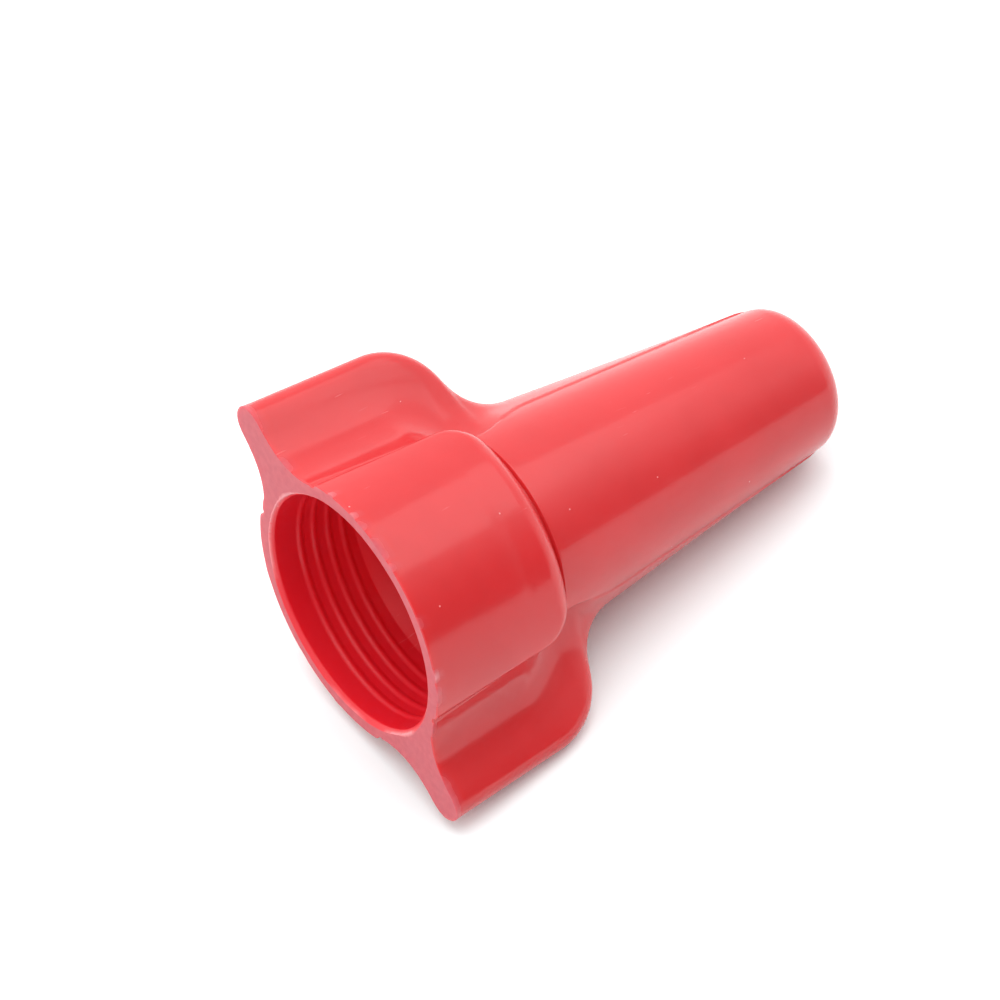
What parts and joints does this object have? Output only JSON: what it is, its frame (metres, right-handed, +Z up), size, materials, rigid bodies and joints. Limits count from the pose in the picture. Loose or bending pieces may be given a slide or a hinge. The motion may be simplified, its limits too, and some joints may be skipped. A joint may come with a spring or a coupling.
{
  "type": "twist wire connector",
  "caption": "Winged twist-on wire connector lying down: moulded shell with finger wings, threaded open mouth, closed tapered barrel and a tapered square-wire grip spring.",
  "frame": {"origin": "on the surface it lies on, under the centre of the bounding box", "axes": "+X runs along the connector from its open mouth to its closed tip, +Z up from the surface it lies on, +Y to the side of the raised wing"},
  "size_m": [0.031, 0.0186, 0.0154],
  "materials": {
    "shell_plastic": "semi-gloss moulded red plastic",
    "spring_steel": "zinc-plated drawn square wire"
  },
  "bodies": {
    "root": {"winged_shell": "shell_plastic", "grip_spring": "spring_steel"}
  },
  "joints": []
}
